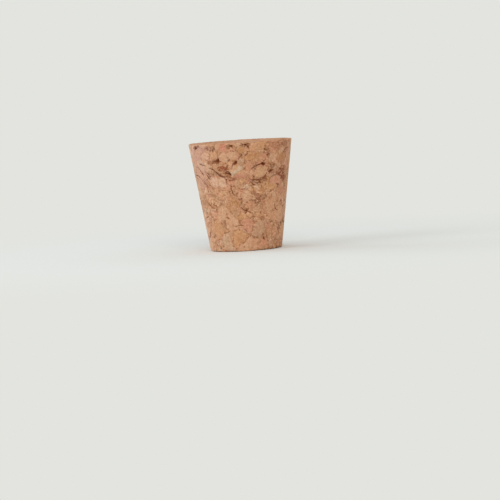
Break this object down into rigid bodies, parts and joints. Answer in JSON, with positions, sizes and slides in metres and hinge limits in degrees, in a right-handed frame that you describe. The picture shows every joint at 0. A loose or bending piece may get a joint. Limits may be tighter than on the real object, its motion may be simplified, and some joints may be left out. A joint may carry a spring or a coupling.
{
  "type": "cork stopper",
  "caption": "Tapered one-piece stopper of bonded cork granules that closes a bottle's mouth by hand pressure.",
  "frame": {"origin": "centre of the small end face, on which the stopper stands", "axes": "+Z along the axis from the small end to the wide end; -Y is the front of the placed pores"},
  "size_m": [0.024, 0.024, 0.025],
  "materials": {
    "cork": "matt ground surface of bonded cork granules, bare and uncoated"
  },
  "bodies": {
    "root": {"stopper": "cork"}
  },
  "joints": []
}
